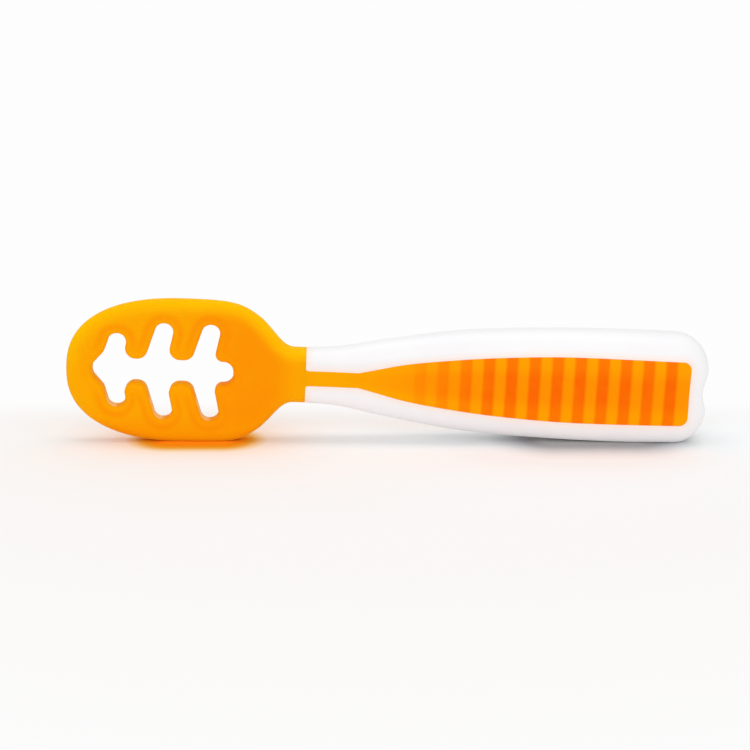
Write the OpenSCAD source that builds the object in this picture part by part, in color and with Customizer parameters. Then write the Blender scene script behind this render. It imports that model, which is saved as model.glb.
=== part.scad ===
/* [Head] */
// Length of the head, from its tip to the handle
head_l = 48.2; // [46:0.2:54]
// Width of the head where it is widest
head_w = 29.6; // [28.6:0.2:34]
// Thickness of the head's rim
head_t = 4.6; // [4:0.2:6]
// Distance from the handle to the widest place of the head
head_wide_at = 24; // [22:0.5:26]
// How far the rounding of the rim reaches in from the edge
rim_r = 2.6; // [2:0.1:2.8]

/* [Slot] */
// Distance from the handle to the near end of the slot
slot_at = 14.6; // [14:0.2:15.4]
// Length of the slot along the head
slot_l = 28.4; // [27:0.2:29]
// Width of the slot's spine, between the tips of the teeth
spine_w = 4.8; // [4.4:0.2:6]
// Distance between one pair of ribs and the next
rib_pitch = 9.4; // [9:0.1:9.6]
// Width of a rib at its closed end
rib_w = 3.6; // [3.4:0.1:4]
// Reach of the two long pairs of ribs from the middle of the head
rib_reach = 9.85; // [9:0.05:10.2]
// Reach of the short pair nearest the tip
tip_rib_reach = 7.5; // [7:0.05:8.4]
// Lean of a rib's side towards the tip
rib_front_lean = 18; // [14:1:19]
// Lean of a rib's side towards the handle
rib_back_lean = 12; // [9:1:14]
// Rounding at the tips of the teeth between the ribs
tooth_r = 2.1; // [1.8:0.1:2.2]
// Rounding of the slot's edges, as deep as it is wide
slot_edge_r = 1.1; // [0.8:0.1:1.2]

/* [Handle] */
// Length of the handle, behind the head
handle_l = 81.6; // [78:0.2:90]
// Width of the handle where it is widest
handle_w = 23.2; // [22:0.2:26]
// Thickness of the handle at its end
handle_t = 13.2; // [12:0.2:15]
// Width of the neck, where the head meets the handle
neck_w = 11.2; // [11.2:0.2:12.4]
// Thickness of the neck
neck_t = 7; // [6.6:0.2:8]
// Width of the flat band along the handle's long edges
edge_flat = 2; // [1.4:0.2:3]
// Rounding of the handle's end, seen from the front
end_r = 6.4; // [5:0.2:7]
// Width of the shallow scallop in the handle's end
scallop_w = 10; // [8:0.5:12]
// Depth of that scallop
scallop_d = 1.2; // [0.4:0.1:1.4]

/* [Grips] */
// Width of the runner strip along the neck
strip_w = 3.1; // [2.4:0.1:3.6]
// Distance from the head to where the strip starts to widen
strip_l = 10.6; // [9:0.2:12]
// Width of the grip where it is widest
grip_w = 13.6; // [12:0.1:14]
// White margin between the grip and the handle's end
end_margin = 4.3; // [3.8:0.1:5]
// Rounding of the grip's two corners
grip_corner_r = 1.6; // [1:0.1:2.4]
// Thickness of the grip over the core's lands
grip_t = 1.4; // [1.2:0.1:1.7]

/* [Core] */
// Thickness of the jacket beside the core
side_wall = 2.4; // [2:0.1:2.6]
// Number of grooves across each face of the core
groove_n = 12; // [8:1:13]
// Distance between one groove and the next
groove_pitch = 4.58; // [4.2:0.02:4.8]
// Width of a groove
groove_w = 2.3; // [1.8:0.1:2.6]
// Depth of the full grooves
groove_d = 2.2; // [1.4:0.1:2.6]
// Distance from the grip's end to the middle of the last groove
last_groove = 4; // [3.4:0.1:5]
// Length of the tang inside the head
tang_l = 10.4; // [9.6:0.1:10.8]
// Width of the tang
tang_w = 6.2; // [5.6:0.2:6.4]
// Thickness of the tang
tang_t = 2.4; // [2:0.1:2.8]
// Diameter of the two lock holes through the tang
lock_hole_d = 2.4; // [2:0.1:2.6]

/* [Hidden] */
orange = [1, 0.6, 0];
white = [0.97, 0.97, 0.97];
stiff_white = [0.88, 0.88, 0.85];
// Overrun of a cutting solid
over = 3;
// Depth of the flats on which the spoon stands on its long edge
foot_d = 0.4;
// Half the flat band along the edge of the head's rim
rim_flat = 0.4;
// Half thickness that the handle's end loses to its rounding
end_t_r = 3.4;
// Wall of the jacket behind the core
end_wall = 2.8;
// Flare of the strip where it meets the head
strip_flare = 0.25;
// Overlap of a groove with the jacket beside the grip
groove_lap = 0.6;
// Distance from the tang's end to the first lock hole, and on to the second
lock_pitch = 3.4;
// Roundings of the slot: at its far end, at its near end, beside the first ribs and beside the last
slot_tip_r = 2;
slot_nub_r = 2;
slot_flank_r = 2;
slot_shoulder_r = 1.5;
// Steps of a quarter turn in the sections of the rim and the handle, and of the slot's edges
section_steps = 5;
edge_steps = 3;
// Turn of an outline from one of its points to the next
arc_step = 15;
// Steps along the neck part of the head, and rings along the handle before the rounding of its end
throat_steps = 8;
handle_rings = 20;

// Fullness of the front of the head's outline, 2 for an ellipse
head_full = 2.4;
// Control points of its rear, [share of head_wide_at, share from the neck's half width to the head's]
shoulder_shares = [[1, 1], [0.62, 1], [0.54, 0.95], [0.37, 0.6]];
throat_shares = [[0.37, 0.6], [0.24, 0.27], [0.2, 0], [0.09, 0]];
// Share of slot_at over which the neck thins
throat_share = 0.9;
// Share of the slot's length from its near end to a place from which its whole outline can be seen
hub_share = 0.4;
// Places of the slot's corners, as shares of the spine's width and the ribs' width
slot_end_shares = [0.2, 0.47];
flank_share = 0.75;
rib_round_share = 0.49;
rib_inset_share = 1.17;
// Rings in the middle of the handle's end
end_face_shares = [0.66, 0.33];
// Handle's half width, half thickness and roundness, [share of its length, share from the neck's]
width_shares = [[0, 0], [0.08, 0.07], [0.2, 0.38], [0.39, 0.77], [0.6, 0.94], [0.8, 0.99], [1, 0.95]];
thick_shares = [[0, 0], [0.08, 0.02], [0.2, 0.22], [0.39, 0.58], [0.6, 0.82], [0.8, 0.96], [1, 1]];
round_shares = [[0, 0], [0.08, 0.1], [0.2, 0.4], [0.39, 0.75], [0.6, 0.95], [0.8, 1], [1, 1]];
// Widest rounding of the handle's long edges, as a share of its half width
full_round_share = 0.62;
// Grip's half width, [share from the strip's end to the grip's end, share from the strip's]
grip_shares = [
    [0, 0], [0.04, 0.12], [0.14, 0.42], [0.26, 0.645], [0.4, 0.835], [0.58, 0.975], [0.72, 1], [1, 0.96]
];
// Depths of the first grooves, which fade in
fade_shares = [0.25, 0.45, 0.7, 0.9];

function ease(u) = let (v = min(max(u, 0), 1)) v * v * (3 - 2 * v);
function mix(a, b, u) = a + (b - a) * u;
function unit(v) = v / norm(v);
function flip(list) = [for (i = [len(list) - 1:-1:0]) list[i]];
function below(points) = [for (p = points) [p[0], -p[1]]];
function bezier(p, u) =
    pow(1 - u, 3) * p[0] + 3 * u * pow(1 - u, 2) * p[1] + 3 * u * u * (1 - u) * p[2] + pow(u, 3) * p[3];

// Smooth curve through the rows of a table
function slope(t, i) =
    let (a = max(i - 1, 0), b = min(i + 1, len(t) - 1)) (t[b][1] - t[a][1]) / (t[b][0] - t[a][0]);
function row(t, x, i = 0) = i >= len(t) - 2 || x <= t[i + 1][0] ? i : row(t, x, i + 1);
function curve(t, x) =
    let (i = row(t, x), w = t[i + 1][0] - t[i][0], u = min(max((x - t[i][0]) / w, 0), 1))
    mix(t[i][1], t[i + 1][1], ease(u)) + w * u * (1 - u) * ((1 - u) * slope(t, i) - u * slope(t, i + 1));

// Outline of straight lines with rounded corners, [x, z, radius, tooth, skirting point] each.
// Its points are [x, z, normal x, normal z, tooth].
function rounded(c) = [for (i = [0:len(c) - 1])
    let (
        p = [c[i][0], c[i][1]],
        a = c[(i + len(c) - 1) % len(c)],
        b = c[(i + 1) % len(c)],
        u = unit([a[0], a[1]] - p),
        v = unit([b[0], b[1]] - p),
        half = acos(u * v) / 2,
        mid = p + unit(u + v) * c[i][2] / sin(half),
        turn = sign(u[0] * v[1] - u[1] * v[0]) * (180 - 2 * half),
        n = max(1, round(abs(turn) / arc_step)),
        from = unit(p + u * c[i][2] / tan(half) - mid)
    )
    for (k = [0:n])
        let (
            t = -turn * k / n,
            d = [from[0] * cos(t) - from[1] * sin(t), from[0] * sin(t) + from[1] * cos(t)],
            skirting = k == (c[i][4] > 0 ? n : c[i][4] < 0 ? 0 : -1)
        )
        concat(mid + d * c[i][2], turn < 0 ? d : -d, [skirting ? 0 : c[i][3]])
];

// Closed solid through rings of as many points, with a fan at each end
module lofted(rings, first_mid, last_mid) {
    n = len(rings[0]);
    last = (len(rings) - 1) * n;
    mids = len(rings) * n;
    sides = [for (k = [0:len(rings) - 2], i = [0:n - 1])
        let (a = k * n + i, b = k * n + (i + 1) % n)
        each [[a, b, b + n], [a, b + n, a + n]]
    ];
    ends = [for (i = [0:n - 1])
        let (j = (i + 1) % n)
        each [[j, i, mids], [last + i, last + j, mids + 1]]
    ];
    polyhedron(concat([for (r = rings) each r], [first_mid, last_mid]), concat(sides, ends));
}

// Head in its own outline, seen from the front: from the neck above, round the tip, to the neck below
function to_head(s) = [-head_wide_at * s[0], mix(neck_w / 2, head_w / 2, s[1])];
shoulder = [for (s = shoulder_shares) to_head(s)];
throat = [for (s = throat_shares) to_head(s)];
head_half = concat(
    [for (a = [5:5:85])
        let (e = 2 / head_full)
        [-head_wide_at - (head_l - head_wide_at) * pow(cos(a), e), head_w / 2 * pow(sin(a), e)]
    ],
    [for (u = [0:0.1:0.95]) bezier(shoulder, u)],
    [for (u = [0:0.2:1]) bezier(throat, u)],
    [[0, neck_w / 2]]
);
rim_line = concat(flip(head_half), [[-head_l, 0]], below(head_half));
rim_n = len(rim_line);
rim_normals = [for (i = [0:rim_n - 1])
    let (d = unit(rim_line[min(i + 1, rim_n - 1)] - rim_line[max(i - 1, 0)]))
    [d[1], -d[0]]
];
thin_l = throat_share * slot_at;
function head_half_t(x) = mix(neck_t, head_t, ease(-x / thin_l)) / 2;
function rim_ring(a, side) = [for (i = [0:rim_n - 1])
    let (p = rim_line[i] - rim_r * (1 - cos(a)) * rim_normals[i])
    [p[0], side * mix(rim_flat, head_half_t(p[0]), sin(a)), p[1]]
];

// Slot: a spine with three pairs of ribs, whose closed ends lie nearer the handle than their roots
slot_tip_x = -slot_at - slot_l;
function rib_x(k) = -slot_at - rib_w * rib_inset_share - (2 - k) * rib_pitch;
function reach(k) = k == 0 ? tip_rib_reach : rib_reach;
function rib_front_x(k, z) = rib_x(k) - rib_w / 2 - (reach(k) - z) * tan(rib_front_lean);
function rib_back_x(k, z) = rib_x(k) + rib_w / 2 - (reach(k) - z) * tan(rib_back_lean);
rib_end_r = rib_round_share * rib_w;
flank_z = flank_share * spine_w;
// Its corners from the near end to the tip: [x, z, radius, tooth, skirting point].
// Tooth 0 is none; the skirting point of a rib's rounding is the one past which its tooth begins.
slot_upper = concat(
    [[-slot_at, slot_end_shares[1] * spine_w, slot_nub_r, 0, 0]],
    [for (k = [2:-1:0]) each [
        [rib_back_x(k, spine_w / 2), spine_w / 2, k == 2 ? slot_shoulder_r : tooth_r, 2 - k, 0],
        [rib_back_x(k, reach(k)), reach(k), rib_end_r, 2 - k, 1],
        [rib_front_x(k, reach(k)), reach(k), rib_end_r, k == 0 ? 0 : 3 - k, -1],
        if (k > 0) [rib_front_x(k, spine_w / 2), spine_w / 2, tooth_r, 3 - k, 0]
    ]],
    [
        [rib_front_x(0, flank_z), flank_z, slot_flank_r, 0, 0],
        [slot_tip_x, slot_end_shares[0] * spine_w, slot_tip_r, 0, 0]
    ]
);
slot_lower = [for (c = flip(slot_upper)) [c[0], -c[1], c[2], c[3] == 0 ? 0 : 5 - c[3], -c[4]]];
slot_outline = rounded(concat(slot_upper, slot_lower));
slot_n = len(slot_outline);
slot_face_y = head_t / 2;
function slot_ring(a, side) =
    let (e = slot_edge_r * (1 - cos(a)), y = slot_face_y - slot_edge_r * (1 - sin(a)))
    [for (p = slot_outline) [p[0] + e * p[2], side * y, p[1] + e * p[3]]];
slot_brim = slot_ring(90, 1);
teeth = [for (t = [1:4])
    let (own = [for (i = [0:slot_n - 1]) if (slot_outline[i][4] == t) i])
    [for (i = [own[0] - 1:own[len(own) - 1] + 1]) i]
];
tooth_mids = [for (t = teeth)
    let (a = slot_brim[t[0]], b = slot_brim[t[len(t) - 1]])
    [(a[0] + b[0]) / 2, slot_face_y, (a[2] > 0 ? 1 : -1) * max(abs(a[2]), abs(b[2]))]
];

// Triangles between two runs of [key, point], each in the order of its keys
function ahead(a, b, i, j) = j == len(b) - 1 || (i < len(a) - 1 && a[i + 1][0] < b[j + 1][0]);
function zip(a, b) = [
    for (
        i = 0, j = 0;
        i + j < len(a) + len(b) - 2;
        first = ahead(a, b, i, j), i = first ? i + 1 : i, j = first ? j : j + 1
    )
    ahead(a, b, i, j) ? [a[i][1], a[i + 1][1], b[j][1]] : [a[i][1], b[j + 1][1], b[j][1]]
];

// Head as one mesh: rim, both faces round the slot and its teeth, the slot's wall and the neck's end
rim_rings = concat(
    [for (a = [90:-90 / section_steps:0]) rim_ring(a, -1)],
    [for (a = [0:90 / section_steps:90]) rim_ring(a, 1)]
);
wall_rings = concat(
    [for (a = [90:-90 / edge_steps:0]) slot_ring(a, -1)],
    [for (a = [0:90 / edge_steps:90]) slot_ring(a, 1)]
);
throat_xs = [for (k = [0:throat_steps]) -thin_l * k / throat_steps];
function throat_line(side) = [for (x = throat_xs) [x, side * head_half_t(x), 0]];
function tooth_points(side) = [for (m = tooth_mids) [m[0], side * m[1], m[2]]];
rim_last = (len(rim_rings) - 1) * rim_n;
wall_first = len(rim_rings) * rim_n;
wall_last = wall_first + (len(wall_rings) - 1) * slot_n;
throat_first = wall_last + slot_n;
tooth_first = throat_first + 2 * len(throat_xs);
// Number of the rim's inner points beside the thinning neck
throat_n = len([for (i = [0:rim_n / 2]) if (rim_rings[0][i][0] > -thin_l) i]);
hub_x = -slot_at - hub_share * slot_l;
function turn_of(p) = let (t = atan2(p[2], p[0] - hub_x)) t < 0 ? t + 360 : t;
function head_face(rim, wall, line, mids) =
    let (
        above = [for (i = [0:throat_n - 1]) [-rim_rings[0][i][0], rim + i]],
        beneath = [for (p = above) [p[0], 2 * rim + rim_n - 1 - p[1]]],
        axis = [for (k = [0:throat_steps]) [-throat_xs[k], line + k]],
        outer = [for (i = [throat_n - 1:rim_n - throat_n]) [turn_of(rim_rings[0][i]), rim + i]],
        skirt = [for (i = [0:slot_n - 1]) each [
            if (slot_outline[i][4] == 0) [turn_of(slot_brim[i]), wall + i],
            if (slot_outline[i][4] == 0 && slot_outline[(i + 1) % slot_n][4] > 0)
                let (t = slot_outline[i + 1][4] - 1) [turn_of(tooth_mids[t]), mids + t]
        ]]
    )
    concat(
        zip(above, axis),
        zip(axis, beneath),
        zip(
            concat([[0, line + throat_steps]], outer, [[360, line + throat_steps]]),
            concat(skirt, [skirt[0] + [360, 0]])
        ),
        [for (t = [0:3], i = [1:len(teeth[t]) - 1]) [mids + t, wall + teeth[t][i], wall + teeth[t][i - 1]]]
    );
neck_face = concat(
    [for (k = [section_steps:len(rim_rings) - 1]) k * rim_n],
    [throat_first + len(throat_xs)],
    [for (k = [len(rim_rings) - 1:-1:0]) k * rim_n + rim_n - 1],
    [throat_first],
    [for (k = [0:section_steps - 1]) k * rim_n]
);
module head_body() {
    points = concat(
        [for (r = rim_rings) each r],
        [for (r = wall_rings) each r],
        throat_line(-1),
        throat_line(1),
        tooth_points(-1),
        tooth_points(1)
    );
    rim = [for (k = [0:len(rim_rings) - 2], i = [0:rim_n - 2])
        let (a = k * rim_n + i, b = a + rim_n)
        each [[a, a + 1, b], [a + 1, b + 1, b]]
    ];
    wall = [for (k = [0:len(wall_rings) - 2], i = [0:slot_n - 1])
        let (a = wall_first + k * slot_n + i, b = wall_first + k * slot_n + (i + 1) % slot_n)
        each [[a, a + slot_n, b], [b, a + slot_n, b + slot_n]]
    ];
    front = head_face(0, wall_first, throat_first, tooth_first);
    back = head_face(rim_last, wall_last, throat_first + len(throat_xs), tooth_first + 4);
    polyhedron(points, concat(rim, wall, [for (f = front) flip(f)], back, [neck_face]));
}

// Handle: sections with rounded long edges along x, from the neck to the end
grip_end = handle_l - end_margin;
function half_w(x) = mix(neck_w, handle_w, curve(width_shares, x / handle_l)) / 2;
function half_t(x) = mix(neck_t, handle_t, curve(thick_shares, x / handle_l)) / 2;
function roundness(x) = curve(round_shares, x / handle_l);
function long_r(x) = mix(rim_r, full_round_share * handle_w / 2, roundness(x));
function long_flat(x) = mix(rim_flat, edge_flat / 2, roundness(x));
// Ring at x whose half width and half thickness are less than the handle's by w_in and t_in
function section(x, w_in, t_in, share = 1, dent = 0) =
    let (
        w = half_w(x) - w_in,
        t = half_t(x) - t_in,
        r = long_r(x) * w / half_w(x),
        f = long_flat(x) * w / half_w(x)
    )
    [for (q = [0:3], k = [0:section_steps])
        let (
            a = 90 * (q % 2 == 0 ? k : section_steps - k) / section_steps,
            y = share * (q < 2 ? 1 : -1) * mix(f, t, sin(a)),
            z = share * (q == 0 || q == 3 ? 1 : -1) * (w - r + r * cos(a))
        )
        [x - dent * scallop(z), y, z]
    ];
function scallop(z) = abs(z) < scallop_w / 2 ? scallop_d * (1 + cos(360 * z / scallop_w)) / 2 : 0;
end_x = handle_l - end_r;
function end_ring(a, share = 1) =
    section(end_x + end_r * sin(a), end_r * (1 - cos(a)), end_t_r * (1 - cos(a)), share, 1 - cos(a));
handle_body_rings = concat(
    [for (i = [0:handle_rings]) section(end_x * i / handle_rings, 0, 0)],
    [for (a = [90 / section_steps:90 / section_steps:90]) end_ring(a)],
    [for (s = end_face_shares) end_ring(90, s)]
);
module handle_body() {
    lofted(handle_body_rings, [0, 0, 0], [handle_l - scallop_d, 0, 0]);
}

// Stiff core: a smaller handle with grooved faces, and the tang that holds the head
core_end = handle_l - end_wall;
function groove_x(k) = grip_end - last_groove - (groove_n - 1 - k) * groove_pitch;
function groove_depth(k) = groove_d * (k < len(fade_shares) ? fade_shares[k] : 1);
module core_bar() {
    rings = [for (i = [0:handle_rings]) section(core_end * i / handle_rings, side_wall, grip_t)];
    lofted(rings, [0, 0, 0], [core_end, 0, 0]);
}
module core_grooves() {
    for (k = [0:groove_n - 1], side = [0, 1])
        let (
            x = groove_x(k),
            l = 2 * (grip_half(x) + groove_lap),
            floor_y = half_t(x) - grip_t - groove_depth(k)
        )
        mirror([0, side, 0])
            translate([x - groove_w / 2, floor_y, -l / 2])
                cube([groove_w, groove_depth(k) + over, l]);
}
module tang() {
    difference() {
        union() {
            translate([tang_w / 2 - tang_l, -tang_t / 2, -tang_w / 2])
                cube([tang_l - tang_w / 2 + over, tang_t, tang_w]);
            across(tang_w / 2 - tang_l, tang_w, tang_t);
        }
        for (k = [1, 2])
            across(k * lock_pitch - tang_l, lock_hole_d, tang_t + over);
    }
}
module across(x, d, l) {
    translate([x, 0, 0])
        rotate([90, 0, 0])
            cylinder(d = d, h = l, center = true, $fn = 48);
}
module core() {
    difference() {
        core_bar();
        core_grooves();
    }
    tang();
}

// Window in the jacket that a grip fills: the runner strip, widening into the pad
function grip_half(x) =
    mix(strip_w, grip_w, x < strip_l ? 0 : curve(grip_shares, (x - strip_l) / (grip_end - strip_l))) / 2;
grip_turn_x = grip_end - grip_corner_r;
grip_step = (grip_turn_x - strip_l) / (2 * handle_rings);
window_half = concat(
    [
        [-over, strip_w / 2 + strip_flare],
        [0, strip_w / 2 + strip_flare],
        [strip_flare, strip_w / 2 + strip_flare / 3],
        [3 * strip_flare, strip_w / 2]
    ],
    [for (i = [0:2 * handle_rings]) let (x = strip_l + i * grip_step) [x, grip_half(x)]],
    [for (a = [arc_step:arc_step:90])
        [grip_turn_x + grip_corner_r * sin(a), grip_half(grip_turn_x) - grip_corner_r * (1 - cos(a))]
    ]
);
window_d = handle_t / 2 + over;
module window(side) {
    mirror([0, side, 0])
        rotate([90, 0, 0])
            linear_extrude(window_d)
                polygon(concat(window_half, flip(below(window_half))));
}
module grip(side) {
    difference() {
        intersection() {
            handle_body();
            window(side);
        }
        core();
    }
}

// Rest on the long edge: the lean at which the head's edge and the handle's touch the same flat surface
head_edge = [for (p = head_half) if (p[0] <= 0) p];
handle_edge = [for (r = handle_body_rings, p = r) [p[0], p[2]]];
function low(edge, a) = min([for (p = edge) -p[0] * sin(a) - p[1] * cos(a)]);
function settle(lo, hi, n) =
    let (a = (lo + hi) / 2)
    n == 0 ? a : low(head_edge, a) < low(handle_edge, a) ? settle(a, hi, n - 1) : settle(lo, a, n - 1);
lean = settle(0, 20, 24);
foot_z = low(head_edge, lean) + foot_d;
tip_x = min([for (p = head_edge) p[0] * cos(lean) - p[1] * sin(lean)]);
tail_x = max([for (p = handle_edge) p[0] * cos(lean) + p[1] * sin(lean)]);
module at_rest() {
    translate([-(tip_x + tail_x) / 2, 0, -foot_z])
        rotate([0, lean, 0])
            children();
}
module above_table() {
    size = head_l + handle_l;
    difference() {
        at_rest()
            children();
        translate([-size, -size / 2, -over])
            cube([2 * size, size, over]);
    }
}

module handle_core() {
    color(stiff_white)
        at_rest()
            core();
}
module head() {
    color(orange)
        above_table()
            difference() {
                head_body();
                tang();
            }
}
module front_grip() {
    color(orange)
        at_rest()
            grip(0);
}
module back_grip() {
    color(orange)
        at_rest()
            grip(1);
}
module handle_jacket() {
    color(white)
        above_table()
            difference() {
                handle_body();
                window(0);
                window(1);
                core();
            }
}

handle_core();
head();
front_grip();
back_grip();
handle_jacket();
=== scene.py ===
import math

import bmesh
import bpy
import numpy as np
from mathutils import Matrix, Vector
from mathutils.geometry import delaunay_2d_cdt


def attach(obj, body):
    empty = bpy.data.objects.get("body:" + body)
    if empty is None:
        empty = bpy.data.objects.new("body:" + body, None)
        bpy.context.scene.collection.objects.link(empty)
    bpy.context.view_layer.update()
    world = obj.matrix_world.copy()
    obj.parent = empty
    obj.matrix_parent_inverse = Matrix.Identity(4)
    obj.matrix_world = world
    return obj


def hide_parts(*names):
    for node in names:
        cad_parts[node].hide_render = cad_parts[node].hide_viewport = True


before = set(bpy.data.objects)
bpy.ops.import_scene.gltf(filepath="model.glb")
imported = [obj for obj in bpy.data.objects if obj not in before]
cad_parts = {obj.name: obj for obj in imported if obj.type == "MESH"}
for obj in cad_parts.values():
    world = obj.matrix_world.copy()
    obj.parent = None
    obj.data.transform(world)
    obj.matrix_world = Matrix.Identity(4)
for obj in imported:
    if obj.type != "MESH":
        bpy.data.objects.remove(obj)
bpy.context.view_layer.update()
MM = 0.001

# the spoon's own frame
# sizes are in mm in a frame whose origin lies in the seam between head and handle: x runs towards
# the handle's end, with the head at negative x, y through the thickness and z across the width
# where that origin lies in the CAD's frame, in mm
SEAM_X, SEAM_Z = -16.7794, 13.6419
# the spoon leans by this angle, so that its head and its handle both touch the floor
LEAN = math.radians(2.0039)

# camera, fitted to the photograph
LENS = 86.9
SENSOR = 36.0
NEAREST, FARTHEST = 0.01, 50.0
# the eye in mm from the seam, the way it looks, and the turn of both about Y in degrees
EYE = (0.65, -357.2, 85.6)
LOOK = (0.0365, 0.9717, -0.2334)
EYE_TURN = -0.511


def photo_camera():
    data = bpy.data.cameras.new("photo_camera")
    data.lens = LENS
    data.sensor_width = SENSOR
    data.clip_start = NEAREST
    data.clip_end = FARTHEST
    camera = bpy.data.objects.new("photo_camera", data)
    bpy.context.scene.collection.objects.link(camera)
    seam = Matrix.Translation(Vector((SEAM_X, 0.0, SEAM_Z)) * MM)
    aim = Vector(LOOK).to_track_quat("-Z", "Y").to_matrix().to_4x4()
    level = Matrix.Translation(Vector(EYE) * MM) @ aim
    camera.matrix_world = seam @ Matrix.Rotation(math.radians(EYE_TURN), 4, "Y") @ level
    return camera


bpy.context.scene.camera = photo_camera()

# sizes of the head
HEAD_L, HEAD_W, HEAD_T = 48.2, 29.6, 4.6
# its widest place, and how full its tip is, where 2 would be an ellipse
WIDE_AT = 24.0
TIP_FULLNESS = 2.4
# control points of the two curves from the widest place to the neck: shares of WIDE_AT along the
# head, and of the way from the neck's width to the head's
SHOULDER = ((1, 1), (0.62, 1), (0.54, 0.95), (0.37, 0.6))
THROAT = ((0.37, 0.6), (0.24, 0.27), (0.2, 0), (0.09, 0))
# points along the straight neck
NECK_STEPS = (-1.6, -1.0, -0.5, 0)
# how far in the rim is rounded, and half the thickness of the flat band that this leaves
RIM_R = 2.6
RIM_FLAT = 0.4

# sizes of the slot: a spine with three ribs to each side, the first of them next to the tip
SLOT_AT, SLOT_L = 14.6, 28.4
SPINE_W = 4.8
RIB_W = 3.6
RIB_PITCH = 9.4
# the last rib ends this many rib widths in from the slot's end next to the neck
RIB_INSET = 1.17
# how far each rib reaches from the middle
REACH = (7.5, 9.85, 9.85)
# how a rib's side towards the tip and its side towards the neck lean, in degrees
FRONT_LEAN, BACK_LEAN = 18.0, 12.0
# half widths at the slot's two ends, and where the first rib's front side ends, as shares of SPINE_W
NECK_END, TIP_END, FLANK = 0.47, 0.2, 0.75
# radii of the slot's corners, the last being that of the last rib's foot next to the neck
SLOT_END_R, RIB_FOOT_R, LAST_FOOT_R = 2.0, 2.1, 1.5
# radius of a rib's closed end, as a share of RIB_W
RIB_ROUND = 0.49
# rounding of the slot's edges
EDGE_R = 1.1
# the way in which the slot's walls with a painted reflection face, along the spoon and across it
LEDGE_WAY = (0.7, 0.71)

# the head thins from the neck's thickness to its own over this length
THIN_L = 0.9 * SLOT_AT
# its faces sink by CUSHION at the slot and up to CUSHION_IN inside the rim, and rise to their full
# height over CUSHION_W
CUSHION, CUSHION_IN, CUSHION_W = 0.1, 1.2, 2.6

# the core's tang in the head, and the two pegs of the head that lock it
TANG_L, TANG_HALF_W, TANG_HALF_T = 10.4, 3.1, 1.2
TANG_R = 3.09
LOCKS, LOCK_R = (-7.0, -3.6), 1.2

# sizes of the handle
HANDLE_L, HANDLE_W, HANDLE_T = 81.6, 23.2, 13.2
NECK_W, NECK_T = 11.2, 7.0
# its section is rounded in from the edge by RIM_R at the neck and by this share of its half width
# at the thick end, and the flat band grows from RIM_FLAT to EDGE_FLAT
ROUND_SHARE = 0.62
EDGE_FLAT = 1.0
# rounding of the end across the handle and through it, and the scallop in the end
END_R, END_T_R = 6.4, 3.4
END_X = HANDLE_L - END_R
SCALLOP_W, SCALLOP_D = 10.0, 1.2

# sizes of a grip: a strip with a flared mouth at the seam, which widens into a pad
STRIP_W, STRIP_L = 3.1, 10.6
FLARE = 0.25
GRIP_W, GRIP_T = 13.6, 1.4
CORNER_R = 1.6
END_MARGIN = 4.3
GRIP_END = HANDLE_L - END_MARGIN
# a fine groove in the surface follows the grip's edge
FINE_D, FINE_W = 0.05, 0.13
# least thickness of the jacket over the core, and of a grip
THIN_JACKET, THIN_GRIP = 0.05, 0.3

# sizes of the core: the jacket's walls round it, and its cross grooves
SIDE_WALL, END_WALL = 2.4, 2.8
CORE_END = HANDLE_L - END_WALL
GROOVES = 12
GROOVE_PITCH, GROOVE_W, GROOVE_D = 4.58, 2.3, 2.2
# from the grip's end to the middle of the last groove
LAST_GROOVE = 4.0
# the first grooves fade in: shares of GROOVE_D
FADES = (0.25, 0.45, 0.7, 0.9)
# a groove's side runs out by this much from its floor to its top
SIDE_RUN = 0.03

# how the handle grows: place from the neck to its end, and share, both from 0 to 1
WIDTH_SHARES = (
    (0, 0), (0.08, 0.07), (0.2, 0.38), (0.39, 0.77), (0.6, 0.94), (0.8, 0.99), (1, 0.95),
)
THICKNESS_SHARES = (
    (0, 0), (0.08, 0.02), (0.2, 0.22), (0.39, 0.58), (0.6, 0.82), (0.8, 0.96), (1, 1),
)
ROUNDING_SHARES = (
    (0, 0), (0.08, 0.1), (0.2, 0.4), (0.39, 0.75), (0.6, 0.95), (0.8, 1), (1, 1),
)
# how a grip grows: place from the strip's end to the pad's, and share
GRIP_SHARES = (
    (0, 0), (0.04, 0.12), (0.14, 0.42), (0.26, 0.645),
    (0.4, 0.835), (0.58, 0.975), (0.72, 1), (1, 0.96),
)

# fineness of the meshes
# the head's inner points: their spacing, how far they go from the middle, and how far they stay
# from the seam and from the rounded edges
HEAD_GRID, HEAD_GRID_REACH, HEAD_GRID_GAP = 0.62, 14.6, 0.3
# spacing along the slot, along the pad's edge, along the strip's, across the handle and round its end
SLOT_STEP, PAD_STEP, STRIP_STEP, ACROSS_STEP, END_STEP = 0.5, 0.5, 0.6, 0.7, 0.45
# the handle's inner points stay this far from a grip's edge and from the core's
GRIP_GAP, CORE_GAP = 0.45, 0.2
# lines of points beside a grip's edge, which start this far from the seam
BESIDE_GRIP = (0.12, 0.3, -0.12, -0.3)
BESIDE_START = 0.1
# rows along the handle, and points along the core, across its end and across a groove
HANDLE_ROWS, CORE_ROWS, CORE_END_POINTS, GROOVE_POINTS = 116, 114, 42, 13
# degrees between the points of a rounded corner, for the slot and for the tang
CORNER_STEP, TANG_STEP = 5, 8
LOCK_SIDES = 32
# first angle and number of angles up to 90 degrees: over the rim, over the slot's edges, round the
# handle's end, and over its sides and round the pad's corners
RIM_TURNS, EDGE_TURNS, END_TURNS, SIDE_TURNS = (9, 10), (12, 7), (7.5, 12), (0, 13)
# points round a quarter of the head's tip
TIP_POINTS = 59
# steps along the two curves of the head, each of which is 1 long
SHOULDER_STEP, THROAT_STEP = 0.025, 0.05
# the strip's points stop this far before the pad, and a groove's lines this far inside the grip
STRIP_GAP, GROOVE_GAP = 0.2, 0.002


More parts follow.
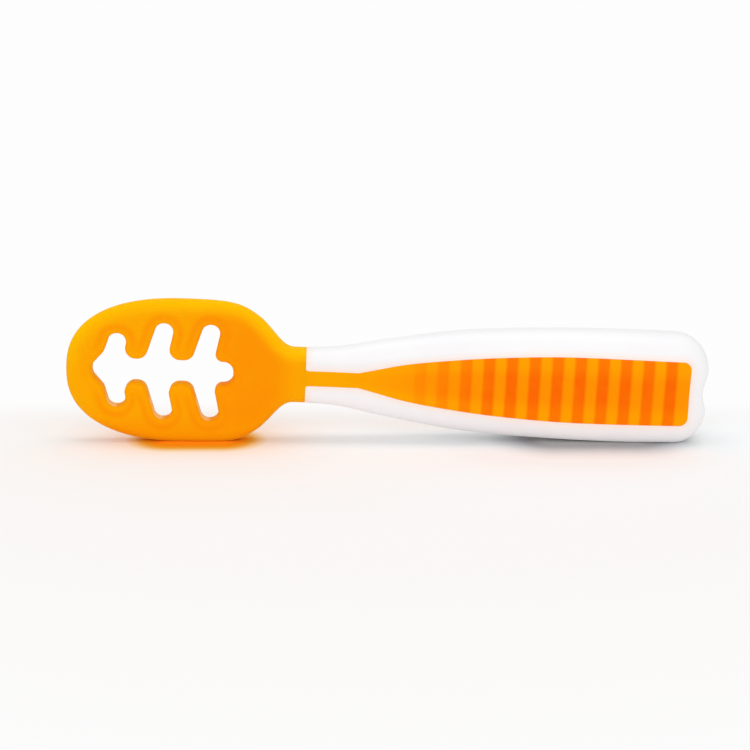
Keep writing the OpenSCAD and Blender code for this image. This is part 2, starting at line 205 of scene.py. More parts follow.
# numbers
def ease(u):
    """Runs smoothly from 0 to 1 while u does."""
    v = np.clip(u, 0.0, 1.0)
    return v * v * (3 - 2 * v)


def mix(a, b, u):
    return a + (b - a) * u


def turns(first, count):
    """Evenly spaced angles up to a right angle."""
    return np.radians(np.linspace(first, 90, count))


def smooth_table(rows):
    """A function that runs smoothly through the rows' points."""
    t = np.array(rows, float)
    last = len(t) - 1
    after = t[[min(i + 1, last) for i in range(last + 1)]]
    before = t[[max(i - 1, 0) for i in range(last + 1)]]
    slope = (after[:, 1] - before[:, 1]) / (after[:, 0] - before[:, 0])

    def value(x):
        x = np.asarray(x, float)
        i = np.clip(np.searchsorted(t[:, 0], x, side="left") - 1, 0, last - 1)
        w = t[i + 1, 0] - t[i, 0]
        u = np.clip((x - t[i, 0]) / w, 0, 1)
        bend = w * u * (1 - u) * ((1 - u) * slope[i] - u * slope[i + 1])
        return mix(t[i, 1], t[i + 1, 1], ease(u)) + bend

    return value


# sections of the handle
width_of = smooth_table(WIDTH_SHARES)
thick_of = smooth_table(THICKNESS_SHARES)
round_of = smooth_table(ROUNDING_SHARES)
grip_of = smooth_table(GRIP_SHARES)


def half_w(x):
    return mix(NECK_W, HANDLE_W, width_of(x / HANDLE_L)) / 2


def half_t(x):
    return mix(NECK_T, HANDLE_T, thick_of(x / HANDLE_L)) / 2


def grip_half(x):
    share = np.where(x < STRIP_L, 0.0, grip_of((x - STRIP_L) / (GRIP_END - STRIP_L)))
    return mix(STRIP_W, GRIP_W, share) / 2


def end_turn(x):
    """How far round the rounded end x lies, from 0 to a right angle."""
    return np.arcsin(np.clip((x - END_X) / END_R, 0, 1))


def section(x, w_in, t_in):
    """Half width, half thickness, rounding and flat of the section set in by w_in and t_in."""
    full = half_w(x)
    share = round_of(x / HANDLE_L)
    w = full - w_in
    t = half_t(x) - t_in
    r = mix(RIM_R, ROUND_SHARE * HANDLE_W / 2, share) * w / full
    flat = mix(RIM_FLAT, EDGE_FLAT, share) * w / full
    return w, t, r, flat


def skin_section(x):
    inward = 1 - np.cos(end_turn(x))
    return section(x, END_R * inward, END_T_R * inward)


def height(sec, z):
    """Half thickness of a section at z."""
    w, t, r, flat = sec
    over = np.clip((np.abs(z) - (w - r)) / r, 0, 1)
    return flat + (t - flat) * np.sqrt(np.clip(1 - over * over, 0, 1))


def skin_y(x, z):
    return height(skin_section(x), z)


def core_y(x, z):
    return height(section(x, SIDE_WALL, GRIP_T), z)


def scallop(z):
    dip = SCALLOP_D * (1 + np.cos(2 * np.pi * z / SCALLOP_W)) / 2
    return np.where(np.abs(z) < SCALLOP_W / 2, dip, 0.0)


def scalloped_x(x, z):
    return x - (1 - np.cos(end_turn(x))) * scallop(z)


# between the spoon's own frame in mm and the CAD's in metres
def to_row(points):
    p = np.asarray(points, float)
    x = p[:, 0] * math.cos(LEAN) + p[:, 2] * math.sin(LEAN) + SEAM_X
    z = -p[:, 0] * math.sin(LEAN) + p[:, 2] * math.cos(LEAN) + SEAM_Z
    return np.column_stack([x, p[:, 1], np.maximum(z, 0.0)]) * MM


def to_own(co):
    """Places along the spoon and across it."""
    p = np.asarray(co, float) / MM
    x, z = p[:, 0] - SEAM_X, p[:, 2] - SEAM_Z
    own_x = x * math.cos(LEAN) - z * math.sin(LEAN)
    own_z = x * math.sin(LEAN) + z * math.cos(LEAN)
    return np.column_stack([own_x, own_z])


# plane work, on points along the spoon and across it
# how many edges are taken at a time
BATCH = 64
# plane points this close are one point, and triangles this small are left out
SAME_POINT = 1e-5
SMALLEST_AREA = 1e-7
# a step of PROBE from a line's point number PROBE_AT tells which side is inside
PROBE, PROBE_AT = 0.01, 5
# least square of an edge's length, so that nothing is divided by zero
LEAST_SQUARE = 1e-12


def distance(points, line, closed=True):
    """Distance of each point from the line, which runs back to its start where it is closed."""
    p = np.asarray(points, float)[:, None, :]
    a = np.asarray(line, float)
    b = np.roll(a, -1, axis=0)
    if not closed:
        a, b = a[:-1], b[:-1]
    nearest = np.full(len(points), np.inf)
    for k in range(0, len(a), BATCH):
        start = a[None, k:k + BATCH]
        run = b[None, k:k + BATCH] - start
        square = np.maximum((run * run).sum(-1), LEAST_SQUARE)
        u = np.clip(((p - start) * run).sum(-1) / square, 0, 1)
        d = np.linalg.norm(p - (start + u[..., None] * run), axis=-1)
        nearest = np.minimum(nearest, d.min(axis=1))
    return nearest


def inside(points, loop):
    """Whether each point lies inside the loop."""
    p = np.asarray(points, float)
    hit = np.zeros(len(p), bool)
    a = np.asarray(loop, float)
    for (x1, z1), (x2, z2) in zip(a, np.roll(a, -1, axis=0)):
        if z1 == z2:
            continue
        crosses = (z1 > p[:, 1]) != (z2 > p[:, 1])
        hit ^= crosses & (p[:, 0] < (x2 - x1) * (p[:, 1] - z1) / (z2 - z1) + x1)
    return hit


def beside(line, closed):
    """Unit vectors at right angles to the line, at each of its points."""
    after = np.roll(line, -1, axis=0)
    before = np.roll(line, 1, axis=0)
    if not closed:
        after[-1], before[0] = line[-1], line[0]
    d = after - before
    d /= np.linalg.norm(d, axis=1)[:, None]
    return np.column_stack([d[:, 1], -d[:, 0]])


def outward(line, closed):
    """The unit vectors beside the line that point away from the area that it goes round."""
    n = beside(line, closed)
    beyond = line[PROBE_AT] + PROBE * n[PROBE_AT]
    return -n if inside([beyond], line)[0] else n


def rounded(corners, step):
    """A closed line round corners of (x, z, radius), with a point every step degrees of a turn."""
    out = []
    n = len(corners)
    for i in range(n):
        corner = np.array(corners[i][:2], float)
        r = corners[i][2]
        u = np.array(corners[i - 1][:2]) - corner
        v = np.array(corners[(i + 1) % n][:2]) - corner
        u /= np.linalg.norm(u)
        v /= np.linalg.norm(v)
        half = math.acos(float(np.clip(u @ v, -1, 1))) / 2
        middle = corner + (u + v) / np.linalg.norm(u + v) * r / math.sin(half)
        turn = np.sign(u[0] * v[1] - u[1] * v[0]) * (math.pi - 2 * half)
        m = max(2, round(abs(math.degrees(turn)) / step))
        x, z = corner + u * r / math.tan(half) - middle
        for k in range(m + 1):
            t = -turn * k / m
            out.append(middle + [x * math.cos(t) - z * math.sin(t), x * math.sin(t) + z * math.cos(t)])
    return np.array(out)


def triangulate(loops, lines, free):
    """Triangles over all the points, with the closed loops and the open lines kept as edges."""
    verts, edges = [], []
    for loop in loops:
        s = len(verts)
        verts += [tuple(p) for p in loop]
        edges += [(s + i, s + (i + 1) % len(loop)) for i in range(len(loop))]
    for line in lines:
        s = len(verts)
        verts += [tuple(p) for p in line]
        edges += [(s + i, s + i + 1) for i in range(len(line) - 1)]
    verts += [tuple(p) for p in free]
    out = delaunay_2d_cdt([Vector(v) for v in verts], edges, [], 0, SAME_POINT, False)
    return np.array([tuple(v) for v in out[0]]), np.array([tuple(f) for f in out[2]], int)


def edge_owners(tris):
    """The triangles on each edge."""
    owners = {}
    for t, f in enumerate(tris):
        for i in range(3):
            e = (int(f[i]), int(f[(i + 1) % 3]))
            owners.setdefault((min(e), max(e)), []).append(t)
    return owners


# meshes
# a mesh's points this close, in metres, are one point
WELD = 2e-6
# faces that meet at less than this angle, in degrees, are shaded as one surface
SMOOTH_ANGLE = 38


def make_mesh(name, points, faces):
    co = to_row(points)
    used = sorted({i for f in faces for i in f})
    new = {old: k for k, old in enumerate(used)}
    mesh = bpy.data.meshes.new(name)
    mesh.from_pydata([tuple(co[i]) for i in used], [], [tuple(new[i] for i in f) for f in faces])
    bm = bmesh.new()
    bm.from_mesh(mesh)
    bmesh.ops.remove_doubles(bm, verts=bm.verts, dist=WELD)
    bmesh.ops.recalc_face_normals(bm, faces=bm.faces)
    bm.to_mesh(mesh)
    bm.free()
    obj = bpy.data.objects.new(name, mesh)
    bpy.context.scene.collection.objects.link(obj)
    return obj


def slab(name, flat, tris, y):
    """A closed mesh from -y to y over flat triangles, with a wall along each open edge."""
    n = len(flat)
    points = np.vstack([np.column_stack([flat[:, 0], side, flat[:, 1]]) for side in (-y, y)])
    faces = [tuple(t) for t in tris] + [tuple(t[::-1] + n) for t in tris]
    for (i, j), own in edge_owners(tris).items():
        if len(own) == 1:
            faces.append((i, j, j + n, i + n))
    return make_mesh(name, points, faces)


def cut_out(obj, cutter):
    """Takes the cutter's shape out of the object, and the cutter out of the scene."""
    cut = obj.modifiers.new("cut", "BOOLEAN")
    cut.operation = "DIFFERENCE"
    cut.solver = "EXACT"
    cut.object = cutter
    bpy.context.view_layer.update()
    done = bpy.data.meshes.new_from_object(obj.evaluated_get(bpy.context.evaluated_depsgraph_get()))
    obj.modifiers.clear()
    obj.data = done
    bpy.data.objects.remove(cutter)


def shade(obj):
    obj.data.shade_smooth()
    obj.data.set_sharp_from_angle(angle=math.radians(SMOOTH_ANGLE))


def mark(obj, name, values):
    """Keeps a number for each of the mesh's points, which its material reads by name."""
    a = obj.data.attributes.new(name, "FLOAT", "POINT")
    a.data.foreach_set("value", np.asarray(values, np.float32))


def mark_places(obj):
    """Marks each point's place along the spoon and across it, and gives both."""
    co = np.empty(len(obj.data.vertices) * 3)
    obj.data.vertices.foreach_get("co", co)
    flat = to_own(co.reshape(-1, 3))
    mark(obj, "along_mm", flat[:, 0])
    mark(obj, "across_mm", flat[:, 1])
    return flat


# head
def bezier(shares, step, end):
    """Points of a curve with four control points, from its start up to end, in steps."""
    p = np.array([[-WIDE_AT * s[0], mix(NECK_W / 2, HEAD_W / 2, s[1])] for s in shares])
    u = np.arange(0, end, step)[:, None]
    v = 1 - u
    return v ** 3 * p[0] + 3 * u * v ** 2 * p[1] + 3 * u * u * v * p[2] + u ** 3 * p[3]


def head_outline():
    """The head's edge, from the seam round the tip and back, and open at the seam."""
    power = 2 / TIP_FULLNESS
    a = np.radians(np.linspace(0, 90, TIP_POINTS + 2)[1:-1])
    tip_x = -WIDE_AT - (HEAD_L - WIDE_AT) * np.cos(a) ** power
    tip = np.column_stack([tip_x, HEAD_W / 2 * np.sin(a) ** power])
    # the shoulder stops a step short of its end, where the throat starts
    shoulder = bezier(SHOULDER, SHOULDER_STEP, 1 - SHOULDER_STEP / 2)
    throat = bezier(THROAT, THROAT_STEP, 1 + THROAT_STEP / 2)
    neck = np.array([[x, NECK_W / 2] for x in NECK_STEPS])
    upper = np.vstack([tip, shoulder, throat, neck])
    lower = upper * [1, -1]
    return np.vstack([upper[::-1], [[-HEAD_L, 0]], lower])


def slot_outline():
    """The slot's edge as a closed line."""
    front, back = math.tan(math.radians(FRONT_LEAN)), math.tan(math.radians(BACK_LEAN))
    last = len(REACH) - 1
    rib_x = [-SLOT_AT - RIB_W * RIB_INSET - (last - k) * RIB_PITCH for k in range(last + 1)]

    def front_x(k, z):
        return rib_x[k] - RIB_W / 2 - (REACH[k] - z) * front

    def back_x(k, z):
        return rib_x[k] + RIB_W / 2 - (REACH[k] - z) * back

    half, flank, rib_r = SPINE_W / 2, FLANK * SPINE_W, RIB_ROUND * RIB_W
    upper = [[-SLOT_AT, NECK_END * SPINE_W, SLOT_END_R]]
    for k in range(last, -1, -1):
        upper.append([back_x(k, half), half, LAST_FOOT_R if k == last else RIB_FOOT_R])
        upper.append([back_x(k, REACH[k]), REACH[k], rib_r])
        upper.append([front_x(k, REACH[k]), REACH[k], rib_r])
        if k:
            upper.append([front_x(k, half), half, RIB_FOOT_R])
    upper.append([front_x(0, flank), flank, SLOT_END_R])
    upper.append([-SLOT_AT - SLOT_L, TIP_END * SPINE_W, SLOT_END_R])
    lower = [[x, -z, r] for x, z, r in upper[::-1]]
    line = rounded(upper + lower, CORNER_STEP)
    dense = []
    for p, q in zip(line, np.roll(line, -1, axis=0)):
        m = max(1, int(np.linalg.norm(q - p) / SLOT_STEP))
        dense += [p + (q - p) * k / m for k in range(m)]
    return np.array(dense)


rim_line = head_outline()
rim_out = outward(rim_line, closed=False)
# at the seam the neck's edges face straight across
rim_out[0], rim_out[-1] = (0, 1), (0, -1)
slot_line = slot_outline()
slot_out = outward(slot_line, closed=True)


def head_y(p):
    """Half the head's thickness at each point."""
    x = p[:, 0]
    rim = distance(p, rim_line, closed=False)
    cut = distance(p, slot_line)
    half = mix(NECK_T, HEAD_T, ease(-x / THIN_L)) / 2
    over = np.clip(1 - rim / RIM_R, 0, 1)
    y = RIM_FLAT + (half - RIM_FLAT) * np.sqrt(1 - over * over)
    over = np.clip(1 - cut / EDGE_R, 0, 1)
    y = y - EDGE_R * (1 - np.sqrt(1 - over * over))
    away = np.minimum(rim - CUSHION_IN, cut)
    return y + CUSHION * (ease(away / CUSHION_W) - 1) * ease(-x / THIN_L)


def head_grid():
    """Points in staggered rows over the head, away from its edges."""
    gx, gz = np.meshgrid(
        np.arange(-HEAD_L, 0, HEAD_GRID), np.arange(-HEAD_GRID_REACH, HEAD_GRID_REACH, HEAD_GRID)
    )
    every_other = np.arange(gx.size) // gx.shape[1] % 2
    grid = np.column_stack([gx.ravel() + HEAD_GRID / 2 * every_other, gz.ravel()])
    grid = grid[inside(grid, rim_line) & ~inside(grid, slot_line)]
    clear = distance(grid, rim_line, closed=False) > RIM_R + HEAD_GRID_GAP
    clear &= distance(grid, slot_line) > EDGE_R + HEAD_GRID_GAP
    clear &= grid[:, 0] < -HEAD_GRID_GAP
    return grid[clear]


def head_plan():
    """Flat points and triangles of the head, with rings of points over its rounded edges."""
    rings = [rim_line - RIM_R * (1 - math.cos(a)) * rim_out for a in turns(*RIM_TURNS)]
    rings += [slot_line + EDGE_R * (1 - math.cos(a)) * slot_out for a in turns(*EDGE_TURNS)]
    rings = np.vstack(rings)
    rings[:, 0] = np.minimum(rings[:, 0], 0.0)
    pts, tris = triangulate([rim_line, slot_line], [], np.vstack([rings, head_grid()]))
    mid = pts[tris].mean(axis=1)
    return pts, tris[inside(mid, rim_line) & ~inside(mid, slot_line)]


def tang_cutter():
    """The room in the head for the core's tang, cut a little past the seam."""
    past, sharp = 1.0, 0.01
    corners = [[past, -TANG_HALF_W, sharp], [past, TANG_HALF_W, sharp]]
    corners += [[-TANG_L, TANG_HALF_W, TANG_R], [-TANG_L, -TANG_HALF_W, TANG_R]]
    tang = rounded(corners, TANG_STEP)
    around = np.linspace(0, 2 * math.pi, LOCK_SIDES + 1)[:-1]
    pegs = [
        np.array([[x + LOCK_R * math.cos(a), LOCK_R * math.sin(a)] for a in around]) for x in LOCKS
    ]
    pts, tris = triangulate([tang] + pegs, [], [])
    mid = pts[tris].mean(axis=1)
    room = inside(mid, tang)
    for peg in pegs:
        room &= ~inside(mid, peg)
    return slab("tang_cutter", pts, tris[room], np.full(len(pts), TANG_HALF_T))


def build_head():
    pts, tris = head_plan()
    head = slab("spoon_head", pts, tris, head_y(pts))
    cut_out(head, tang_cutter())
    shade(head)
    flat = mark_places(head)
    mark(head, "rim_mm", distance(flat, rim_line, closed=False))
    mark(head, "slot_mm", distance(flat, slot_line))
    # how squarely each point's slot wall faces the way of the painted reflection
    nearest = np.argmin(((flat[:, None] - slot_line[None]) ** 2).sum(axis=2), axis=1)
    mark(head, "wall_highlight", -slot_out[nearest] @ LEDGE_WAY)
    return head


# handle
def grip_outline():
    """A grip's edge, from the seam round the pad and back, and open at the seam."""
    half = STRIP_W / 2
    up = [[0, half + FLARE], [FLARE, half + FLARE / 3], [3 * FLARE, half]]
    up += [[x, half] for x in np.arange(5 * FLARE, STRIP_L - STRIP_GAP, STRIP_STEP)]
    turn_x = GRIP_END - CORNER_R
    up += [[x, float(grip_half(x))] for x in np.arange(STRIP_L, turn_x, PAD_STEP)]
    corner_z = float(grip_half(turn_x)) - CORNER_R
    up += [
        [turn_x + CORNER_R * math.sin(a), corner_z + CORNER_R * math.cos(a)] for a in turns(*SIDE_TURNS)
    ]
    up = np.array(up)
    m = int(2 * up[-1, 1] / PAD_STEP)
    across = [[GRIP_END, up[-1, 1] * (1 - 2 * k / m)] for k in range(1, m)]
    return np.vstack([up, across, (up * [1, -1])[::-1]])


grip_line = grip_outline()
groove_x = np.array([GRIP_END - LAST_GROOVE - (GROOVES - 1 - k) * GROOVE_PITCH for k in range(GROOVES)])


def bed_y(x, z):
    """The core's surface under a grip, with its grooves."""
    y = core_y(x, z)
    for k, gx in enumerate(groove_x):
        depth = GROOVE_D * (FADES[k] if k < len(FADES) else 1)
        floor_y = half_t(gx) - GRIP_T - depth
        y = np.where(np.abs(x - gx) < GROOVE_W / 2 + SIDE_RUN / 2, np.minimum(y, floor_y), y)
    return y


def handle_outline():
    """The handle's edge as a closed line, and rows of points across its face."""
    around_end = END_X + END_R * np.sin(turns(*END_TURNS))
    xs = np.concatenate([np.linspace(0, END_X, HANDLE_ROWS), around_end])
    widths, _, roundings, _ = skin_section(xs)
    rows = []
    for x, w, r in zip(xs, widths, roundings):
        zs = list(w - r + r * np.cos(turns(*SIDE_TURNS)))
        m = max(2, int((w - r) / ACROSS_STEP))
        zs += [(w - r) * (1 - j / m) for j in range(1, m + 1)]
        zs += [-z for z in zs[-2::-1]]
        rows.append(np.array([[x, z] for z in zs]))
    top = np.array([row[0] for row in rows])
    tail = [[HANDLE_L, z] for z in np.arange(top[-1, 1], -top[-1, 1], -END_STEP)[1:]]
    nose = rows[0][1:-1][::-1]
    edge = np.vstack([top, tail, (top * [1, -1])[::-1], nose])
    return edge, np.vstack([row[1:-1] for row in rows[1:-1]])


def core_outline():
    """The core's edge, from the seam round its end and back, and open at the seam."""
    x = np.linspace(0, CORE_END, CORE_ROWS)
    w = half_w(x) - SIDE_WALL
    tail = [[CORE_END, z] for z in np.linspace(w[-1], -w[-1], CORE_END_POINTS)[1:-1]]
    return np.vstack([np.column_stack([x, w]), tail, np.column_stack([x, -w])[::-1]])


def groove_lines():
    """Lines across a grip along the foot and the top of each groove's two sides."""
    lines = []
    for gx in groove_x:
        for side in (-1, 1):
            for run in (0.0, SIDE_RUN):
                x = gx + side * (GROOVE_W / 2 + run)
                g = float(grip_half(x)) - GROOVE_GAP
                lines.append(np.array([[x, z] for z in np.linspace(-g, g, GROOVE_POINTS)]))
    return lines


def closed_past_seam(line):
    """A line that is open at the seam, closed at the seam's other side."""
    past = 1.0
    return np.vstack([[[-past, line[0, 1]]], line, [[-past, line[-1, 1]]]])


# what lies under a triangle of the handle's face: a grip, the jacket over the core, the jacket
# alone, or nothing where an edge has no second triangle
GRIP, HOLLOW, SOLID, NOTHING = range(4)


def handle_plan():
    """Flat points and triangles of the handle, and what lies under each triangle."""
    edge, free = handle_outline()
    core_line = core_outline()
    free = free[distance(free, grip_line) > GRIP_GAP]
    sideways = beside(grip_line, closed=False)
    for d in BESIDE_GRIP:
        line = grip_line[1:-1] + d * sideways[1:-1]
        free = np.vstack([free, line[line[:, 0] > BESIDE_START]])
    free = free[distance(free, core_line, closed=False) > CORE_GAP]
    pts, tris = triangulate([edge], [grip_line, core_line] + groove_lines(), free)
    mid = pts[tris].mean(axis=1)
    area = np.cross(pts[tris[:, 1]] - pts[tris[:, 0]], pts[tris[:, 2]] - pts[tris[:, 0]])
    keep = inside(mid, edge) & (np.abs(area) > SMALLEST_AREA)
    tris, mid = tris[keep], mid[keep]
    jacket_kind = np.where(inside(mid, closed_past_seam(core_line)), HOLLOW, SOLID)
    return pts, tris, np.where(inside(mid, closed_past_seam(grip_line)), GRIP, jacket_kind)


def handle_levels(pts):
    """The plan's points on six surfaces, in the order in which handle_faces names them."""
    x, z = pts[:, 0], pts[:, 1]
    from_edge = distance(pts, grip_line, closed=False)
    outer = skin_y(x, z) - FINE_D * np.exp(-(from_edge / FINE_W) ** 2)
    inner = np.minimum(core_y(x, z), outer - THIN_JACKET)
    bed = np.minimum(bed_y(x, z), outer - THIN_GRIP)
    levels = (-outer, -inner, inner, outer, -bed, bed)
    return np.vstack([np.column_stack([scalloped_x(x, z), y, z]) for y in levels])


def handle_faces(tris, kind, n):
    """Faces of the jacket, the front grip and the back grip, over six levels of n points."""
    front_out, front_in, back_in, back_out, front_bed, back_bed = (k * n for k in range(6))
    jacket, front, back = [], [], []

    def cap(corners, level):
        return tuple(int(v) + level for v in corners)

    def wall(edge, level, other):
        i, j = edge
        return (i + level, j + level, j + other, i + other)

    for t, k in zip(tris, kind):
        if k == GRIP:
            front += [cap(t, front_out), cap(t[::-1], front_bed)]
            back += [cap(t[::-1], back_out), cap(t, back_bed)]
        else:
            jacket += [cap(t, front_out), cap(t[::-1], back_out)]
        if k == HOLLOW:
            jacket += [cap(t[::-1], front_in), cap(t, back_in)]
    for edge, own in edge_owners(tris).items():
        ends = sorted(kind[t] for t in own) + [NOTHING] * (2 - len(own))
        if ends[0] == ends[1]:
            continue
        if ends[0] == GRIP:
            front.append(wall(edge, front_out, front_bed))
            back.append(wall(edge, back_out, back_bed))
        if ends in ([GRIP, HOLLOW], [HOLLOW, NOTHING]):
            jacket += [wall(edge, front_out, front_in), wall(edge, back_out, back_in)]
        elif ends == [HOLLOW, SOLID]:
            jacket.append(wall(edge, front_in, back_in))
        elif ends == [SOLID, NOTHING]:
            # in three strips, because a hollow part's wall ends at the two inner levels
            for level, other in ((front_out, front_in), (front_in, back_in), (back_in, back_out)):
                jacket.append(wall(edge, level, other))
    return jacket, front, back


def build_handle():
    pts, tris, kind = handle_plan()
    levels = handle_levels(pts)
    names = ("jacket_skin", "grip_front_skin", "grip_back_skin")
    made = []
    for name, faces in zip(names, handle_faces(tris, kind, len(pts))):
        obj = make_mesh(name, levels, faces)
        shade(obj)
        flat = mark_places(obj)
        mark(obj, "grip_mm", distance(flat, grip_line, closed=False))
        mark(obj, "half_mm", grip_half(flat[:, 0]))
        made.append(obj)
    return made


# materials
def srgb(r, g, b):
    def linear(c):
        c = c / 255
        return c / 12.92 if c <= 0.04045 else ((c + 0.055) / 1.055) ** 2.4

    return (linear(r), linear(g), linear(b), 1.0)


# places of the colour sockets on a Mix node, which share their names with its other sockets
MIX_A, MIX_B, MIX_RESULT = 6, 7, 2


class Shader:
    """The nodes of a material or of the world."""

    def __init__(self, owner, output="ShaderNodeOutputMaterial"):
        owner.use_nodes = True
        self.tree = owner.node_tree
        self.tree.nodes.clear()
        self.out = self.tree.nodes.new(output)

    def feed(self, socket, value):
        if isinstance(value, bpy.types.NodeSocket):
            self.tree.links.new(value, socket)
        elif value is not None:
            socket.default_value = value

    def add(self, kind, *inputs, **settings):
        n = self.tree.nodes.new("ShaderNode" + kind)
        for key, value in settings.items():
            setattr(n, key, value)
        for socket, value in zip(n.inputs, inputs):
            self.feed(socket, value)
        return n

    def math(self, op, a, b=None, c=None, clamp=False):
        return self.add("Math", a, b, c, operation=op, use_clamp=clamp).outputs[0]

    def times(self, a, b):
        return self.math("MULTIPLY", a, b)

    def step(self, v, lo, hi, a=0.0, b=1.0):
        """Runs smoothly from a, where v is lo, to b, where v is hi."""
        return self.add("MapRange", v, lo, hi, a, b, interpolation_type="SMOOTHSTEP").outputs["Result"]

    def fall(self, v, lo, hi, most=1.0):
        return self.step(v, lo, hi, most, 0.0)

    def blend(self, share, a, b, way="MIX"):
        n = self.add("Mix", share, data_type="RGBA", blend_type=way)
        self.feed(n.inputs[MIX_A], a)
        self.feed(n.inputs[MIX_B], b)
        return n.outputs[MIX_RESULT]

    def show(self, first, share, second):
        both = self.add("MixShader", share, first.outputs[0], second.outputs[0])
        self.feed(self.out.inputs["Surface"], both.outputs[0])


# the part of a noise's range that counts, for gloss and for colour
NOISE_SPAN = (0.3, 0.7)
# height of the fine grain, in metres
GRAIN_HEIGHT = 0.0002


class Skin(Shader):
    """A material with one Principled shader, for a piece of the spoon."""

    def __init__(self, name):
        self.mat = bpy.data.materials.new(name)
        super().__init__(self.mat)
        self.bsdf = self.add("BsdfPrincipled")
        self.feed(self.out.inputs["Surface"], self.bsdf.outputs["BSDF"])

    def marked(self, *names):
        return [self.add("Attribute", attribute_name=name).outputs["Fac"] for name in names]

    def noise(self, scale, detail=3.0, rough=0.5):
        n = self.add("TexNoise", self.add("TexCoord").outputs["Object"])
        n.inputs["Scale"].default_value = scale
        n.inputs["Detail"].default_value = detail
        n.inputs["Roughness"].default_value = rough
        return n.outputs["Fac"]

    def set(self, **values):
        for name, value in values.items():
            self.feed(self.bsdf.inputs[name.replace("_", " ")], value)

    def finish(self, colour, specular, gloss, grain):
        """Gloss is a noise's scale and two roughnesses, grain a noise's scale, detail and strength."""
        gloss_scale, *roughnesses = gloss
        *grain_noise, strength = grain
        rough = self.step(self.noise(gloss_scale), *NOISE_SPAN, *roughnesses)
        bump = self.add("Bump")
        bump.inputs["Strength"].default_value = strength
        bump.inputs["Distance"].default_value = GRAIN_HEIGHT
        self.feed(bump.inputs["Height"], self.noise(*grain_noise))
        self.set(Base_Color=colour, Roughness=rough, Normal=bump.outputs["Normal"])
        self.set(Specular_IOR_Level=specular)
        return self.mat


ORANGE_SPECULAR = 0.02
ORANGE_GRAIN = (1400.0, 2.0, 0.04)

# the head: its colours, and the spans in mm over which they come in
# the paler lower head is a painted glow, the yellow rim a painted highlight that is strongest at the top,
# the deeper bottom rim painted shade, and the pale slot walls a painted reflection
HEAD_TIP, HEAD_BODY, HEAD_NECK = srgb(255, 171, 0), srgb(255, 151, 0), srgb(255, 169, 0)
HEAD_LOW_GLOW, HEAD_RIM_HIGHLIGHT, HEAD_LOW_RIM_SHADE = srgb(255, 157, 0), srgb(255, 189, 0), srgb(255, 148, 0)
HEAD_RING, HEAD_MOTTLE, HEAD_WALL_HIGHLIGHT = srgb(253, 139, 0), srgb(255, 165, 0), srgb(255, 212, 136)
# along the head, and up it
TIP_SPAN, NECK_SPAN = (-29.0, -11.0), (-7.0, -1.0)
LOW_GLOW_SPAN, LOW_RIM_SHADE_SPAN, RIM_HIGHLIGHT_UP_SPAN = (-13.0, -7.0), (-13.0, -9.0), (-4.0, 7.0)
# from the rim: a painted highlight, palest at the top, and painted shade along the bottom rim
RIM_HIGHLIGHT_SPAN, LOW_RIM_SHADE_WIDTH = (0.4, 3.6), (0.0, 2.6)
RIM_HIGHLIGHT_SHARES = (0.12, 1.0)
# from the slot, for the deeper ring round it, which is strongest away from the middle
RING_START, RING_STOP = (0.4, 1.5), (1.5, 2.8)
RING_UP_SPAN, RING_SHARES = (3.0, 6.5), (0.1, 0.5)
# the slot's pale walls, a painted reflection on the lower walls that face up: from the slot, by how
# squarely they face the way given with the slot's sizes, and up the head
WALL_SPAN, FACING_SPAN, WALL_HIGHLIGHT_UP_SPAN = (0.03, 0.12), (0.55, 0.85), (-7.0, -4.5)
WALL_HIGHLIGHT_SHARE = 0.9
HEAD_MOTTLE_NOISE, HEAD_MOTTLE_SPAN, HEAD_MOTTLE_SHARE = (150.0, 2.0), (0.35, 0.65), 0.15
HEAD_GLOSS = (900.0, 0.4, 0.48)
# light scattered under the orange: share, reach in metres, and how far red, green and blue go of it
SCATTER, SCATTER_REACH, SCATTER_COLOURS = 0.3, 0.0014, (1.0, 0.5, 0.08)


